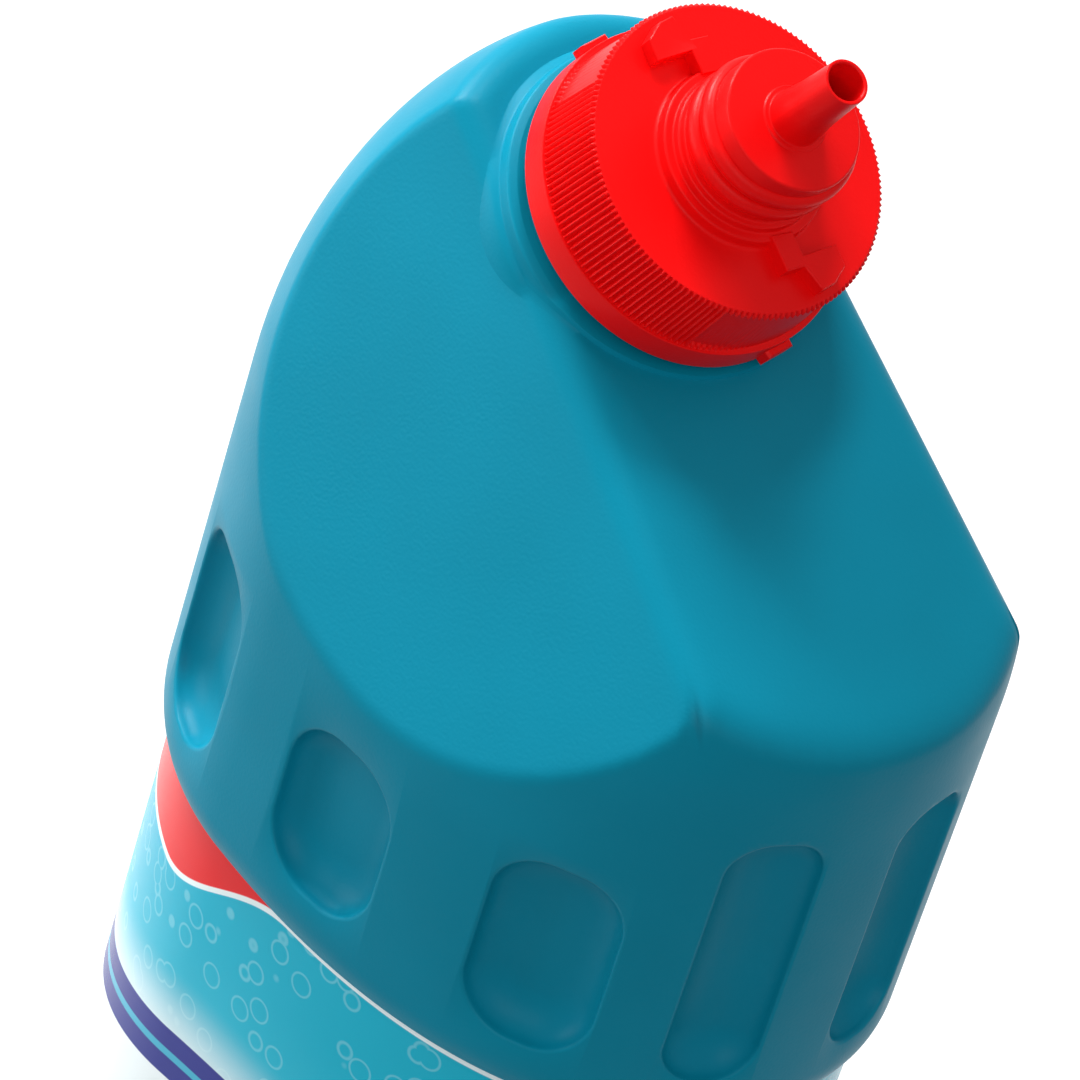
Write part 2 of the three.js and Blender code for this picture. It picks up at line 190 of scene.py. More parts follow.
def add_camera():
    data = bpy.data.cameras.new("camera")
    data.sensor_width = SENSOR
    data.lens = FOCAL
    data.clip_start = 0.05
    data.clip_end = 20
    camera = bpy.data.objects.new("camera", data)
    bpy.context.scene.collection.objects.link(camera)
    axes = Matrix((CAMERA_RIGHT, CAMERA_UP, CAMERA_RIGHT.cross(CAMERA_UP))).transposed()
    camera.matrix_world = Matrix.Translation(CAMERA_AT) @ axes.to_4x4()
    bpy.context.scene.camera = camera


# Mesh building

def angles_of(columns):
    return TURN * np.arange(columns) / columns


def loft(rings, first_centre=None, last_centre=None):
    """Closed loft through rings that run anticlockwise seen from their end, with a fan on each end."""
    count = len(rings[0])
    first_centre = np.mean(rings[0], axis=0) if first_centre is None else first_centre
    last_centre = np.mean(rings[-1], axis=0) if last_centre is None else last_centre
    points = np.vstack([*rings, [first_centre], [last_centre]])
    first = len(points) - 2
    last = len(points) - 1
    top = (len(rings) - 1) * count
    faces = []
    for i in range(count):
        j = (i + 1) % count
        for low in range(0, top, count):
            high = low + count
            faces.append((low + i, low + j, high + j, high + i))
        faces.append((first, j, i))
        faces.append((last, top + i, top + j))
    return points, faces


def solid(name, points, faces):
    mesh = bpy.data.meshes.new(name)
    mesh.from_pydata((np.asarray(points, float) * MM).tolist(), [], faces)
    piece = bpy.data.objects.new(name, mesh)
    bpy.context.scene.collection.objects.link(piece)
    return piece


def joined(name, parts):
    """One object from solids that don't touch each other."""
    points = []
    faces = []
    for part_points, part_faces in parts:
        shift = len(points)
        points.extend(np.asarray(part_points).tolist())
        faces.extend(tuple(corner + shift for corner in face) for face in part_faces)
    return solid(name, points, faces)


def combine(piece, operation, *tools):
    """Adds solids to a piece or cuts them from it, and removes them."""
    for tool in tools:
        step = piece.modifiers.new(operation, "BOOLEAN")
        step.operation = operation
        step.solver = "MANIFOLD"
        step.object = tool
    bpy.context.view_layer.update()
    evaluated = piece.evaluated_get(bpy.context.evaluated_depsgraph_get())
    mesh = bpy.data.meshes.new_from_object(evaluated)
    piece.modifiers.clear()
    piece.data = mesh
    for tool in tools:
        bpy.data.objects.remove(tool)
    return piece


def dress(piece, material, body, node, sharp_angle=32):
    """Smooth shading with crisp edges, a material, and the body and node that the piece stands for."""
    piece.data.shade_smooth()
    piece.data.set_sharp_from_angle(angle=math.radians(sharp_angle))
    piece.data.materials.clear()
    piece.data.materials.append(material)
    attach(piece, body)
    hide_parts(node)


def rounded(corners, segments=5):
    """Outline points from (radius, height, rounding) corners."""
    points = [np.array(corners[0][:2], float)]
    for before, corner, after in zip(corners, corners[1:], corners[2:]):
        here = np.array(corner[:2], float)
        back = np.array(before[:2]) - here
        forth = np.array(after[:2]) - here
        back_length = np.linalg.norm(back)
        forth_length = np.linalg.norm(forth)
        if not corner[2]:
            points.append(here)
            continue
        half = math.acos(np.clip(back @ forth / (back_length * forth_length), -1, 1)) / 2
        reach = min(corner[2] / math.tan(half), 0.49 * back_length, 0.49 * forth_length)
        start = here + back / back_length * reach
        end = here + forth / forth_length * reach
        for share in np.linspace(0, 1, segments + 1):
            points.append((1 - share) ** 2 * start + 2 * share * (1 - share) * here + share**2 * end)
    points.append(np.array(corners[-1][:2], float))
    return points


# Bottle surface

def oval_points(inset, angles, z):
    power = np.where(np.cos(angles) > 0, FRONT_ROUNDNESS, BACK_ROUNDNESS)
    reach = (np.abs(np.cos(angles)) ** power + np.abs(np.sin(angles)) ** power) ** (-1 / power)
    front = BOTTLE_WIDTH / 2 - DEEPEST_X - inset
    back = BOTTLE_WIDTH / 2 + DEEPEST_X - inset
    half_length = np.where(np.cos(angles) > 0, front, back)
    x = DEEPEST_X + half_length * reach * np.cos(angles)
    y = (BOTTLE_DEPTH / 2 - inset) * reach * np.sin(angles)
    return np.stack([x, y, np.zeros_like(x) + z], axis=-1)


NECK_FACET_NORMAL = np.array((math.sin(NECK_FACET_TILT), 0, math.cos(NECK_FACET_TILT)))
FRONT_FACET_NORMAL = np.array((
    math.sin(SIDE_FACET_TURN) * math.cos(SIDE_FACET_LEAN),
    -math.cos(SIDE_FACET_TURN) * math.cos(SIDE_FACET_LEAN),
    math.sin(SIDE_FACET_LEAN),
))


def arch_value(points, inset):
    x = points[..., 0] - DEEPEST_X
    power = np.where(x > 0, FRONT_ROUNDNESS, BACK_ROUNDNESS)
    half_length = np.where(x > 0, BOTTLE_WIDTH / 2 - DEEPEST_X, BOTTLE_WIDTH / 2 + DEEPEST_X) - inset
    half_depth = BOTTLE_DEPTH / 2 - inset
    across = (np.abs(x) / half_length) ** power + (np.abs(points[..., 1]) / half_depth) ** power
    up = np.maximum(points[..., 2] - ARCH_START, 0) / (ARCH_RISE - inset)
    whole = across ** (ARCH_ROUNDNESS / power) + up**ARCH_ROUNDNESS
    return (whole ** (1 / ARCH_ROUNDNESS) - 1) * (BOTTLE_DEPTH / 2)


def facet_values(points, inset):
    folded = points * (1, 0, 1) - np.abs(points) * (0, 1, 0)
    neck = points @ NECK_FACET_NORMAL - NECK_FACET_NORMAL @ RIDGE_FOOT + inset
    side = folded @ FRONT_FACET_NORMAL - FRONT_FACET_NORMAL @ RIDGE_FOOT + inset
    return neck, side


def rounded_max(a, b, radius):
    overlap = np.maximum(radius - np.abs(a - b), 0)
    return np.maximum(a, b) + overlap**2 / (4 * radius)


def shoulder_value(points, inset):
    neck, side = facet_values(points, inset)
    sides = rounded_max(arch_value(points, inset), side, SIDE_CREASE)
    return rounded_max(sides, neck, NECK_CREASE)


def surface_along(starts, directions, reach, inset):
    """Distance from each start to the shoulder's surface."""
    inside = np.zeros(starts.shape[:-1])
    outside = np.full(starts.shape[:-1], float(reach))
    for _ in range(34):
        middle = (inside + outside) / 2
        within = shoulder_value(starts + directions * middle[..., None], inset) < 0
        inside = np.where(within, middle, inside)
        outside = np.where(within, outside, middle)
    return inside


# Neck frame: across leans down the facet, along runs out of the neck

NECK_ACROSS = np.array((math.cos(NECK_TILT), 0, -math.sin(NECK_TILT)))
NECK_ALONG = np.array((math.sin(NECK_TILT), 0, math.cos(NECK_TILT)))
NECK_AXES = np.array((NECK_ACROSS, (0, 1, 0), NECK_ALONG))


def placed_on_neck(points):
    return NECK_POINT + np.asarray(points) @ NECK_AXES


def circle(radius, angles, height):
    flat = np.zeros_like(angles)
    return np.stack([flat + radius * np.cos(angles), flat + radius * np.sin(angles), flat + height], axis=-1)


def surface_under_neck(radius, angles, inset):
    depth = 40
    starts = placed_on_neck(circle(radius, angles, -depth))
    return surface_along(starts, np.broadcast_to(NECK_ALONG, starts.shape), depth, inset) - depth


def unit(vectors):
    return vectors / np.linalg.norm(vectors, axis=-1, keepdims=True)


def shoulder_rings(inset, columns, circle_radius, rows_per_zone):
    """Rings from the oval to a circle round the neck, with rows gathered at the creases."""
    heart = np.array((DEEPEST_X, 0, FACET_START - 6))
    reach = 130
    samples = 200
    angles = angles_of(columns)
    start = unit(oval_points(inset, angles, FACET_START) - heart)
    foot = circle(circle_radius, angles, surface_under_neck(circle_radius, angles, inset))
    end = unit(placed_on_neck(foot) - heart)
    between = np.arccos(np.clip((start * end).sum(-1), -1, 1))[:, None]

    def points_at(shares):
        toward_start = np.sin((1 - shares) * between) / np.sin(between)
        toward_end = np.sin(shares * between) / np.sin(between)
        directions = toward_start[..., None] * start[:, None] + toward_end[..., None] * end[:, None]
        starts = np.broadcast_to(heart, directions.shape)
        return starts + directions * surface_along(starts, directions, reach, inset)[..., None]

    step = np.arange(samples + 1)
    sampled = points_at(np.broadcast_to(step / samples, (columns, samples + 1)))
    neck, side = facet_values(sampled, inset)
    arch = arch_value(sampled, inset)
    on_neck = neck > np.maximum(side, arch)
    on_arch = ~on_neck & (arch >= side)
    neck_edge = np.where(~on_neck, step, 0).max(1) / samples
    below = step <= neck_edge[:, None] * samples
    side_edge = np.where(on_arch & below, step, 0).max(1) / samples
    upper = np.clip(neck_edge, 0.3, 0.94)
    lower = np.clip(side_edge, 0.15, upper - 0.1)
    edges = np.stack([np.zeros(columns), lower, upper, np.ones(columns)], axis=1)
    gathered = (1 - np.cos(math.pi * np.arange(1, rows_per_zone + 1) / rows_per_zone)) / 2
    rows = [np.zeros((columns, 1))]
    for zone in range(3):
        low = edges[:, zone : zone + 1]
        high = edges[:, zone + 1 : zone + 2]
        rows.append(low + (high - low) * gathered)
    points = points_at(np.hstack(rows))
    return [points[:, row] for row in range(points.shape[1])]


# Bottle

def recess_cutter(angle, width, height, growth=0):
    """Pocket that follows the oval's surface, with a small rounded lip and a scooped floor."""
    depth = RECESS_DEPTH + growth
    half_width = width / 2 + growth
    half_height = height / 2 + growth
    middle = RECESS_FOOT + height / 2
    lip = [
        (-RECESS_LIP * (1 - math.sin(a)), RECESS_LIP * (1 - math.cos(a)))
        for a in np.linspace(0.15, 1.4, 4)
    ]
    wall = [
        (RECESS_SCOOP * (1 - math.cos(a)), RECESS_LIP + (depth - RECESS_LIP) * math.sin(a))
        for a in np.linspace(0.1, 1.5, 18)
    ]
    levels = [(-RECESS_LIP - 0.3, -2.5), (-RECESS_LIP - 0.05, -0.05), *lip, *wall]
    here = oval_points(0, np.array([angle]), middle)[0]
    step = 0.01
    ahead = oval_points(0, np.array([angle + step]), middle)[0]
    per_radian = np.linalg.norm(ahead - here) / step
    rings = []
    for shrink, sunk in levels:
        corner = RECESS_CORNER * width - max(shrink, 0) * 0.9
        flat_width = half_width - shrink - corner
        flat_height = half_height - shrink - corner
        around = angles_of(96)
        across = np.sign(np.cos(around)) * flat_width + corner * np.cos(around)
        up = np.sign(np.sin(around)) * flat_height + corner * np.sin(around)
        along = angle + across / per_radian
        tangent = oval_points(0, along + step, 0) - oval_points(0, along - step, 0)
        outward = unit(np.cross(tangent, (0, 0, 1)))
        rings.append(oval_points(0, along, 0) + np.stack([0 * up, 0 * up, middle + up], -1) - outward * sunk)
    return loft(rings[::-1])


def mirrored(part):
    points, faces = part
    return np.asarray(points) * (1, -1, 1), [face[::-1] for face in faces]


def recess_cutters(growth=0):
    cutters = [recess_cutter(*recess, growth) for recess in FINGER_RECESSES]
    return joined("recess_cutters", cutters + [mirrored(cutter) for cutter in cutters])


def bottle_outside():
    quarter = np.linspace(0, math.pi / 2, 12)
    heel = [(HEEL_RADIUS * (1 - math.sin(a)), HEEL_RADIUS * (1 - math.cos(a))) for a in quarter]
    band_edge = [
        (PANEL_INSET * 0.8 * (1 - math.sin(a)), BAND_FOOT + BAND_ROUNDING * (1 - math.cos(a)))
        for a in quarter
    ]
    outline = [
        (HEEL_RADIUS + 3.5 * FOOT_RING, PUSH_UP),
        (HEEL_RADIUS + 1.5 * FOOT_RING, PUSH_UP * 0.75),
        (HEEL_RADIUS + FOOT_RING, 0),
        *heel,
        *rounded([(0, HEEL_TOP - 1.5, 0), (0, HEEL_TOP, 0.8), (PANEL_INSET, HEEL_TOP + HEEL_STEP, 0.8),
                  (PANEL_INSET, HEEL_TOP + 4, 0)]),
        (PANEL_INSET, BAND_FOOT),
        *band_edge,
        (0, BAND_FOOT + 20),
    ]
    angles = angles_of(BOTTLE_COLUMNS)
    body_rings = [oval_points(inset, angles, z) for inset, z in outline]
    facet_rings = shoulder_rings(0, BOTTLE_COLUMNS, SHELF_RADIUS + 1.1, SHOULDER_ROWS)
    neck_outline = rounded([
        (SHELF_RADIUS + 0.9, SHELF_HEIGHT - 2.2, 0),
        (SHELF_RADIUS + 0.1, SHELF_HEIGHT - 1.6, 0.5),
        (SHELF_RADIUS, SHELF_HEIGHT, 0.5),
        (SHELF_RADIUS - 1, SHELF_HEIGHT + 0.4, 0.5),
        (NECK_RADIUS, SHELF_HEIGHT + 0.8, 0.8),
        (NECK_RADIUS, NECK_RIM, 0.4),
        (NECK_RADIUS - 0.6, NECK_RIM, 0),
    ])
    neck_rings = []
    for radius, height in neck_outline:
        proud = SHELF_PROUD * np.clip((SHELF_RADIUS + 0.3 - radius) / 0.3, 0, 1)
        ground = surface_under_neck(radius, angles, 0) + proud
        neck_rings.append(placed_on_neck(circle(radius, angles, np.maximum(height, ground))))
    rings = [*body_rings, *facet_rings, *neck_rings]
    return loft(rings, (0, 0, PUSH_UP), placed_on_neck((0, 0, NECK_RIM)))


def cavity():
    outline = [
        (HEEL_RADIUS + 3.5 * FOOT_RING, PUSH_UP + WALL),
        (HEEL_RADIUS + 1.5 * FOOT_RING - 1.1, PUSH_UP * 0.75 + WALL),
        (HEEL_RADIUS + FOOT_RING - 1.1, WALL),
        (HEEL_RADIUS + 1, WALL),
        (WALL + 1.5, WALL + 2),
        (WALL, HEEL_RADIUS + 1),
        (WALL, HEEL_TOP - HEEL_STEP),
        (PANEL_INSET + WALL, HEEL_TOP + HEEL_STEP),
        (PANEL_INSET + WALL, BAND_FOOT + WALL),
        (WALL + 0.7, BAND_FOOT + WALL + 2),
        (WALL, BAND_FOOT + BAND_ROUNDING + WALL),
    ]
    angles = angles_of(CAVITY_COLUMNS)
    rings = [oval_points(inset, angles, z) for inset, z in outline]
    rings += shoulder_rings(WALL, CAVITY_COLUMNS, NECK_BORE + 1.5, 6)
    rings += [placed_on_neck(circle(NECK_BORE, angles, height)) for height in (-3.5, NECK_RIM + 3)]
    hollow = solid("cavity", *loft(rings, (0, 0, PUSH_UP + WALL), placed_on_neck((0, 0, NECK_RIM + 3))))
    return combine(hollow, "DIFFERENCE", recess_cutters(WALL))


def screw_ridge(root_radius, crest_radius, width, pitch, turns, start_height, start_turn):
    """Ridge of rounded section wound round the neck's axis, fading in and out at its ends."""
    steps = round(turns * 72)
    section = np.linspace(0, math.pi, 9)
    outward = math.copysign(1, crest_radius - root_radius)
    rings = []
    for step in range(steps + 1):
        turned = step / steps * turns
        fade = min(1, (0.4 + min(step, steps - step)) / 9)
        angle = (start_turn + turned) * TURN
        radius = root_radius + (crest_radius - root_radius) * fade * np.sin(section) ** 0.8
        height = start_height + turned * pitch - outward * width / 2 * np.cos(section)
        ring = np.stack([radius * math.cos(angle), radius * math.sin(angle), height], -1)
        inner = circle(root_radius - 0.5 * outward, np.full(2, angle), 0)
        inner[:, 2] = (height[-1], height[0])
        rings.append(np.vstack([ring, inner]))
    points, faces = loft(rings)
    return placed_on_neck(points), faces


def make_bottle(material):
    piece = solid("bottle_shell", *bottle_outside())
    thread = solid("neck_thread", *screw_ridge(
        NECK_RADIUS - 0.3, NECK_THREAD_CREST, THREAD_WIDTH, THREAD_PITCH, THREAD_TURNS, THREAD_START, 0
    ))
    combine(piece, "UNION", thread)
    combine(piece, "DIFFERENCE", recess_cutters(), cavity())
    dress(piece, material, "bottle_body", "bottle", sharp_angle=60)


# Closure

def turned(corners, columns=TURNED_COLUMNS):
    angles = angles_of(columns)
    points, faces = loft([circle(radius, angles, height) for radius, height in corners])
    return placed_on_neck(points), faces


def off_pad(angles):
    """Distance in radians outside the nearer pad's edge, below zero on a pad."""
    nearest = np.abs((angles - PAD_MIDDLE + math.pi / 2) % math.pi - math.pi / 2)
    return nearest - PAD_HALF_WIDTH


def skirt():
    """Flange, ribs and toothed rim, with smooth pads on two sides where the ribs are missing."""
    angles = angles_of(RIB_COUNT * POINTS_PER_RIB)
    wave = 0.5 - 0.5 * np.cos(angles * RIB_COUNT)
    tooth = wave**0.75
    beyond = off_pad(angles)
    ribs = np.clip(beyond / 0.01, 0, 1)
    fading = np.clip(1 + beyond / (0.75 * PAD_HALF_WIDTH), 0, 1)
    rim_foot = PLATE_TOP - RIM_HEIGHT

    def knurl(height, share):
        along = (height - FLANGE_TOP) / (PLATE_TOP - FLANGE_TOP)
        crest = KNURL_FOOT_RADIUS + (KNURL_TOP_RADIUS - KNURL_FOOT_RADIUS) * along
        return circle(crest - KNURL_DEPTH * (1 - share * tooth), angles, height)

    rings = [circle(radius, angles, height) for radius, height in rounded([
        (FLANGE_RADIUS - 0.8, SKIRT_FOOT, 0),
        (FLANGE_RADIUS, SKIRT_FOOT, 0.25),
        (KNURL_FOOT_RADIUS + 0.2, FLANGE_TOP - 0.1, 0.15),
        (KNURL_FOOT_RADIUS - 0.1, FLANGE_TOP - 0.1, 0),
    ])]
    rings += [
        knurl(FLANGE_TOP, fading),
        knurl(FLANGE_TOP + 0.35, np.maximum(ribs, 0.8 * fading)),
        knurl(FLANGE_TOP + 0.6, ribs),
        knurl(rim_foot - 0.3, ribs),
        knurl(rim_foot - 0.05, 0.85 * ribs),
        knurl(rim_foot + 0.1, 1),
        knurl(PLATE_TOP - 0.3, 0.95),
        circle(KNURL_TOP_RADIUS - 0.3 - 0.2 * (1 - tooth), angles, PLATE_TOP - 0.05),
        circle(KNURL_TOP_RADIUS - RIM_STEP, angles, PLATE_TOP),
        circle(KNURL_TOP_RADIUS - RIM_STEP - 0.3, angles, PLATE_TOP - 0.02),
    ]
    points, faces = loft(rings)
    return placed_on_neck(points), faces


def boss():
    """Root ring, ledge, threaded boss and spout, standing on the plate."""
    return turned(rounded([
        (ROOT_RING_RADIUS + 1.2, PLATE_TOP - 0.6, 0),
        (ROOT_RING_RADIUS + 1.2, PLATE_TOP - 0.02, 0),
        (ROOT_RING_RADIUS + 0.1, PLATE_TOP, 0.5),
        (ROOT_RING_RADIUS, ROOT_RING_TOP, 0.35),
        (BOSS_RADIUS + 0.85, ROOT_RING_TOP + 0.05, 0.25),
        (BOSS_RADIUS + 0.75, ROOT_RING_TOP + 1, 0.3),
        (BOSS_RADIUS + 0.05, ROOT_RING_TOP + 1.15, 0.3),
        (BOSS_RADIUS, BOSS_TOP, 0.35),
        (SPOUT_FOOT_RADIUS + 0.15, BOSS_TOP, 0.05),
        (SPOUT_FOOT_RADIUS, BOSS_TOP + 0.2, 0.08),
        (SPOUT_FOOT_RADIUS - 0.5, BOSS_TOP + 0.22, 0.2),
        (SPOUT_MOUTH_RADIUS + 0.25, BOSS_TOP + 4.5, 3),
        (SPOUT_MOUTH_RADIUS, SPOUT_TOP, 0.12),
        (SPOUT_MOUTH_RADIUS - 0.2, SPOUT_TOP, 0),
    ], segments=6))


def prism(corners, low, high, edge=0.15):
    """Block on the neck's axis with its upper edge taken off. Its corners run anticlockwise."""
    outline = np.array(corners, float)
    inner = outline + unit(outline.mean(0) - outline) * edge
    levels = ((outline, low), (outline, high - edge), (inner, high))
    rings = [np.column_stack([shape, np.full(len(shape), height)]) for shape, height in levels]
    return loft(rings)


def turned_about(part, angle):
    points, faces = part
    cosine = math.cos(angle)
    sine = math.sin(angle)
    turn = np.array(((cosine, sine, 0), (-sine, cosine, 0), (0, 0, 1)))
    return placed_on_neck(np.asarray(points) @ turn), faces


def small_parts():
    """Plate lugs and flange catches, each one opposite its twin."""
    outer_part = [(12.3, 1.2), (16.4, 2.8), (16.05, 4.6), (14.4, 6.7), (11.9, 6.6)]
    inner_part = [(9.4, -1), (13.5, -0.7), (13.5, 2.2), (12.2, 2), (9.4, 1.7)]
    outer_lug = prism(outer_part, PLATE_TOP - 0.5, PLATE_TOP + LUG_HEIGHT)
    inner_lug = prism(inner_part, PLATE_TOP - 0.5, PLATE_TOP + LUG_HEIGHT)
    root = CATCH_REACH - 2.1
    tongue = [(root, -2), (CATCH_REACH, -1.8), (CATCH_REACH, 1.8), (root, 2)]
    catch = prism(tongue, SKIRT_FOOT, SKIRT_FOOT + CATCH_HEIGHT, 0.3)
    blocks = []
    for half_turn in (0, math.pi):
        blocks.append(("outer_lug", turned_about(outer_lug, half_turn)))
        blocks.append(("inner_lug", turned_about(inner_lug, half_turn)))
        blocks.append(("catch", turned_about(catch, half_turn + CATCH_MIDDLE)))
    return [solid(name, *block) for name, block in blocks]


def closure_inside():
    return turned([
        (SKIRT_BORE, SKIRT_FOOT - 1),
        (SKIRT_BORE, PLATE_TOP - PLATE_THICKNESS),
        (BOSS_BORE, PLATE_TOP - PLATE_THICKNESS),
        (BOSS_BORE - 0.3, BOSS_TOP - 1.4),
        (SPOUT_MOUTH_RADIUS - SPOUT_WALL - 0.3, BOSS_TOP - 1.2),
        (SPOUT_MOUTH_RADIUS - SPOUT_WALL, SPOUT_TOP - 0.15),
        (SPOUT_MOUTH_RADIUS - SPOUT_WALL + 0.15, SPOUT_TOP),
        (SPOUT_MOUTH_RADIUS - SPOUT_WALL + 0.15, SPOUT_TOP + 1),
    ])


def make_closure(material):
    piece = solid("closure_moulding", *skirt())
    boss_thread = solid("boss_thread", *screw_ridge(
        BOSS_RADIUS - 0.2, BOSS_THREAD_CREST, BOSS_THREAD_WIDTH, BOSS_THREAD_PITCH, BOSS_THREAD_TURNS,
        ROOT_RING_TOP + 1.5, BOSS_THREAD_TURN,
    ))
    combine(piece, "UNION", solid("boss", *boss()), boss_thread, *small_parts())
    combine(piece, "DIFFERENCE", solid("inside", *closure_inside()))
    thread_height = THREAD_START + (CAP_THREAD_TURN + 0.5) * THREAD_PITCH
    combine(piece, "UNION", solid("inner_thread", *screw_ridge(
        SKIRT_BORE + 0.3, CAP_THREAD_CREST, THREAD_WIDTH, THREAD_PITCH, THREAD_TURNS,
        thread_height, CAP_THREAD_TURN,
    )))
    dress(piece, material, "closure", "nozzle_cap")


# Label: a film sleeve in the panel

def make_label(material):
    angles = angles_of(BOTTLE_COLUMNS)
    outer = PANEL_INSET - CLEARANCE - LABEL_THICKNESS
    inner = PANEL_INSET - CLEARANCE
    levels = [
        (inner, LABEL_FOOT),
        (outer, LABEL_FOOT),
        (outer, LABEL_TOP),
        (inner, LABEL_TOP),
    ]
    rings = [oval_points(inset, angles, z) for inset, z in levels]
    count = len(angles)
    faces = []
    for row in range(len(rings)):
        low = row * count
        high = (row + 1) % len(rings) * count
        for i in range(count):
            j = (i + 1) % count
            faces.append((low + i, low + j, high + j, high + i))
    piece = solid("label_film", np.vstack(rings), faces)
    dress(piece, material, "bottle_body", "label_sleeve")


# Materials

class Nodes:
    """Short calls for building one material's node tree."""

    def __init__(self, name):
        self.material = bpy.data.materials.new(name)
        self.material.use_nodes = True
        self.tree = self.material.node_tree
        self.shader = self.tree.nodes["Principled BSDF"]
        self.place = self.add("ShaderNodeTexCoord").outputs["Object"]

    def add(self, kind, **settings):
        node = self.tree.nodes.new(kind)
        for setting, value in settings.items():
            setattr(node, setting, value)
        return node

    def put(self, socket, value):
        if isinstance(value, bpy.types.NodeSocket):
            self.tree.links.new(value, socket)
        else:
            socket.default_value = value

    def math(self, operation, *values, clamp=False):
        node = self.add("ShaderNodeMath", operation=operation, use_clamp=clamp)
        for socket, value in zip(node.inputs, values):
            self.put(socket, value)
        return node.outputs[0]

    def mix(self, share, first, second):
        node = self.add("ShaderNodeMix", data_type="RGBA")
        self.put(node.inputs["Factor"], share)
        self.put(node.inputs["A"], first if isinstance(first, bpy.types.NodeSocket) else (*first, 1))
        self.put(node.inputs["B"], second if isinstance(second, bpy.types.NodeSocket) else (*second, 1))
        return node.outputs["Result"]

    def noise(self, scale, detail=2.0, place=None):
        node = self.add("ShaderNodeTexNoise")
        node.inputs["Scale"].default_value = scale
        node.inputs["Detail"].default_value = detail
        self.put(node.inputs["Vector"], self.place if place is None else place)
        return node.outputs["Fac"]

    def smooth(self, value, low, high):
        node = self.add("ShaderNodeMapRange", interpolation_type="SMOOTHSTEP")
        self.put(node.inputs["Value"], value)
        node.inputs["From Min"].default_value = low
        node.inputs["From Max"].default_value = high
        return node.outputs["Result"]

    def bump(self, height, distance, strength=1.0):
        node = self.add("ShaderNodeBump")
        node.inputs["Distance"].default_value = distance
        node.inputs["Strength"].default_value = strength
        self.put(node.inputs["Height"], height)
        self.put(self.shader.inputs["Normal"], node.outputs["Normal"])

    def finish(self, colour, roughness):
        self.put(self.shader.inputs["Base Color"], colour)
        self.put(self.shader.inputs["Roughness"], roughness)
        return self.material


def linear(red, green, blue):
    """Linear colour from 0 to 255 display values."""
    shares = [value / 255 for value in (red, green, blue)]
    return tuple(share / 12.92 if share <= 0.04045 else ((share + 0.055) / 1.055) ** 2.4 for share in shares)


def moulded(name, colour, deeper, roughness, gloss, grain):
    """Moulded or blown plastic: faint clouds in the colour, uneven gloss and a fine grain."""
    nodes = Nodes(name)
    clouds = nodes.noise(35, 2)
    sheen = nodes.math("MULTIPLY_ADD", nodes.noise(160, 1), 0.12, roughness - 0.06)
    nodes.bump(nodes.noise(grain, 0), 0.00004, 0.35)
    nodes.put(nodes.shader.inputs["Specular IOR Level"], gloss)
    return nodes.finish(nodes.mix(nodes.smooth(clouds, 0.3, 0.7), colour, deeper), sheen)


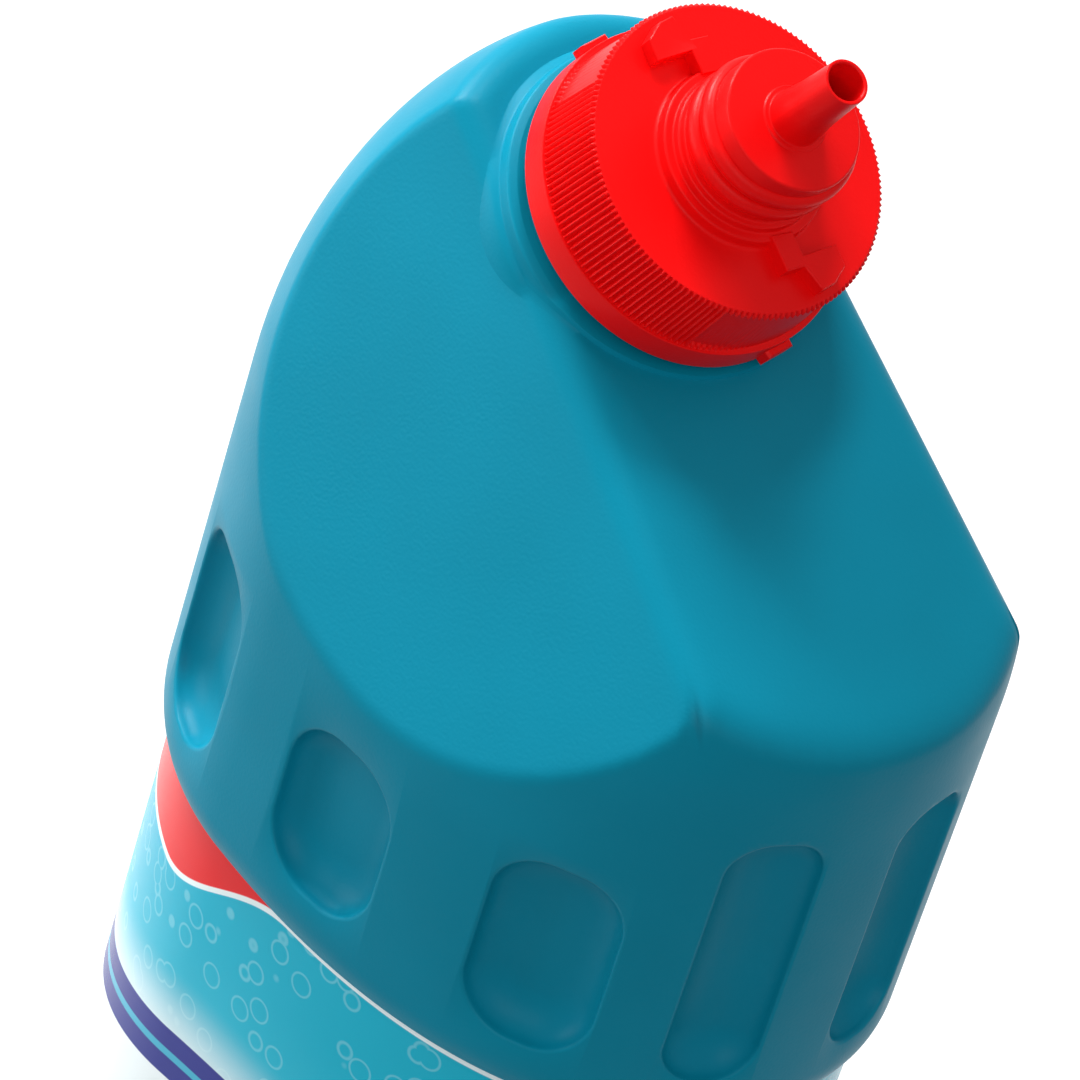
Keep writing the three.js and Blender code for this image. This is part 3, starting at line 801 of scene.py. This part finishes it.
def printed_film():
    """Film with a plain design: a red ribbon under the band, bubbles on turquoise, and blue waves."""
    nodes = Nodes("printed_film")
    apart = nodes.add("ShaderNodeSeparateXYZ")
    nodes.put(apart.inputs[0], nodes.place)
    x, y, z = apart.outputs
    height = nodes.math("DIVIDE", z, MM)
    sideways = nodes.math("SUBTRACT", x, DEEPEST_X * MM)
    around = nodes.math("ARCTAN2", sideways, nodes.math("MULTIPLY", y, -1.0))

    def wave(level, swing, waves, start):
        turned_by = nodes.math("MULTIPLY_ADD", around, float(waves), start)
        return nodes.math("MULTIPLY_ADD", nodes.math("SINE", turned_by), swing, level)

    depth = nodes.smooth(height, PALE_FIELD_HEIGHT, DEEP_FIELD_HEIGHT)
    field = nodes.mix(depth, linear(100, 216, 234), linear(4, 176, 204))

    cells = nodes.add("ShaderNodeTexVoronoi")
    cells.inputs["Scale"].default_value = BUBBLES_PER_METRE
    nodes.put(cells.inputs["Vector"], nodes.place)
    rim = nodes.math("ABSOLUTE", nodes.math("SUBTRACT", cells.outputs["Distance"], BUBBLE_RADIUS))
    bubbles = nodes.math("MULTIPLY", nodes.smooth(rim, 0.05, 0.01), 0.4)
    field = nodes.mix(bubbles, field, linear(150, 222, 234))

    below_glow = nodes.math("SUBTRACT", wave(GLOW_HEIGHT, WAVE_SWING, 2, 0.9), height)
    field = nodes.mix(nodes.smooth(below_glow, -7, 6), field, linear(240, 250, 252))

    from_wave = nodes.math("ABSOLUTE", nodes.math("SUBTRACT", height, wave(WAVE_HEIGHT, WAVE_SWING, 2, 0.6)))
    in_wave = nodes.smooth(from_wave, WAVE_HALF_WIDTH, WAVE_HALF_WIDTH - 0.2)
    field = nodes.mix(in_wave, field, linear(44, 52, 138))
    field = nodes.mix(nodes.smooth(from_wave, 0.6, 0.4), field, linear(70, 176, 205))

    in_foot = nodes.smooth(height, FOOT_LINE_HEIGHT + 20, FOOT_LINE_HEIGHT)
    field = nodes.mix(in_foot, field, linear(30, 160, 186))
    from_line = nodes.math("ABSOLUTE", nodes.math("SUBTRACT", height, wave(FOOT_LINE_HEIGHT, 3, 2, 0.6)))
    field = nodes.mix(nodes.smooth(from_line, 1.3, 1.1), field, linear(44, 52, 138))

    from_ribbon = nodes.math("ABSOLUTE", nodes.math("SUBTRACT", around, RIBBON_ANGLE))
    ribbon_depth = nodes.math("MULTIPLY", nodes.smooth(from_ribbon, 1.6, 0.95), RIBBON_DROP)
    below_edge = nodes.math("ADD", nodes.math("SUBTRACT", height, LABEL_TOP), ribbon_depth)
    field = nodes.mix(nodes.smooth(below_edge, -0.9, -0.7), field, linear(236, 248, 250))
    field = nodes.mix(nodes.smooth(below_edge, -0.1, 0.1), field, linear(228, 22, 28))

    seam = nodes.smooth(nodes.math("ABSOLUTE", around), SEAM_ANGLE, SEAM_ANGLE + 0.01)
    field = nodes.mix(nodes.math("MULTIPLY", seam, 0.35), field, linear(240, 250, 252))
    gloss = nodes.math("MULTIPLY_ADD", nodes.noise(90, 1), 0.1, 0.2)
    nodes.bump(nodes.noise(60, 1), 0.0002, 0.25)
    nodes.put(nodes.shader.inputs["Specular IOR Level"], 0.15)
    return nodes.finish(field, gloss)


def build_floor():
    mesh = bpy.data.meshes.new("floor")
    mesh.from_pydata([(-4, -4, 0), (4, -4, 0), (4, 4, 0), (-4, 4, 0)], [], [(0, 1, 2, 3)])
    floor = bpy.data.objects.new("floor", mesh)
    bpy.context.scene.collection.objects.link(floor)
    nodes = Nodes("floor")
    seen = nodes.add("ShaderNodeLightPath")
    direct = nodes.math("MAXIMUM", seen.outputs["Is Camera Ray"], seen.outputs["Is Glossy Ray"])
    clear = nodes.math("MAXIMUM", direct, seen.outputs["Is Transmission Ray"])
    nodes.put(nodes.shader.inputs["Emission Color"], (1, 1, 1, 1))
    nodes.put(nodes.shader.inputs["Emission Strength"], nodes.math("MULTIPLY", clear, FLOOR_GLOW))
    nodes.put(nodes.shader.inputs["Specular IOR Level"], 0.0)
    brighter = tuple(1.02 * part for part in FLOOR_COLOUR)
    mesh.materials.append(nodes.finish(nodes.mix(nodes.noise(20, 2), FLOOR_COLOUR, brighter), 0.9))


def build_world():
    world = bpy.data.worlds.new("studio")
    world.use_nodes = True
    bpy.context.scene.world = world
    tree = world.node_tree
    seen = tree.nodes.new("ShaderNodeLightPath")
    background = tree.nodes["Background"]
    background.inputs["Color"].default_value = (1, 1, 1, 1)
    direct = tree.nodes.new("ShaderNodeMath")
    direct.operation = "MAXIMUM"
    tree.links.new(seen.outputs["Is Camera Ray"], direct.inputs[0])
    tree.links.new(seen.outputs["Is Glossy Ray"], direct.inputs[1])
    clear = tree.nodes.new("ShaderNodeMath")
    clear.operation = "MAXIMUM"
    tree.links.new(direct.outputs[0], clear.inputs[0])
    tree.links.new(seen.outputs["Is Transmission Ray"], clear.inputs[1])
    strength = tree.nodes.new("ShaderNodeMapRange")
    strength.inputs["To Min"].default_value = SKY_LIGHT
    strength.inputs["To Max"].default_value = 1
    tree.links.new(clear.outputs[0], strength.inputs["Value"])
    tree.links.new(strength.outputs["Result"], background.inputs["Strength"])


def add_lamp(name, direction, distance, size, power):
    data = bpy.data.lights.new(name, "AREA")
    data.size = size
    data.energy = power
    lamp = bpy.data.objects.new(name, data)
    bpy.context.scene.collection.objects.link(lamp)
    aim = Vector((0, 0, 0.19))
    away = Vector(direction).normalized()
    lamp.location = aim + away * distance
    lamp.rotation_mode = "QUATERNION"
    lamp.rotation_quaternion = (-away).to_track_quat("-Z", "Y")


add_camera()

teal = moulded("teal_plastic", linear(3, 130, 157), linear(3, 125, 151), 0.4, 0.08, 2600)
red = moulded("red_plastic", linear(238, 12, 14), linear(232, 10, 12), 0.36, 0.1, 3400)
foam = moulded("seal_foam", linear(240, 240, 236), linear(232, 232, 228), 0.8, 0.2, 4200)

make_bottle(teal)
make_label(printed_film())
make_closure(red)
seal_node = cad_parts["neck_seal"]
seal_node.data.materials.clear()
seal_node.data.materials.append(foam)

build_floor()
build_world()
for name, settings in LAMPS.items():
    add_lamp(name, **settings)

bpy.context.scene.view_settings.view_transform = "Standard"
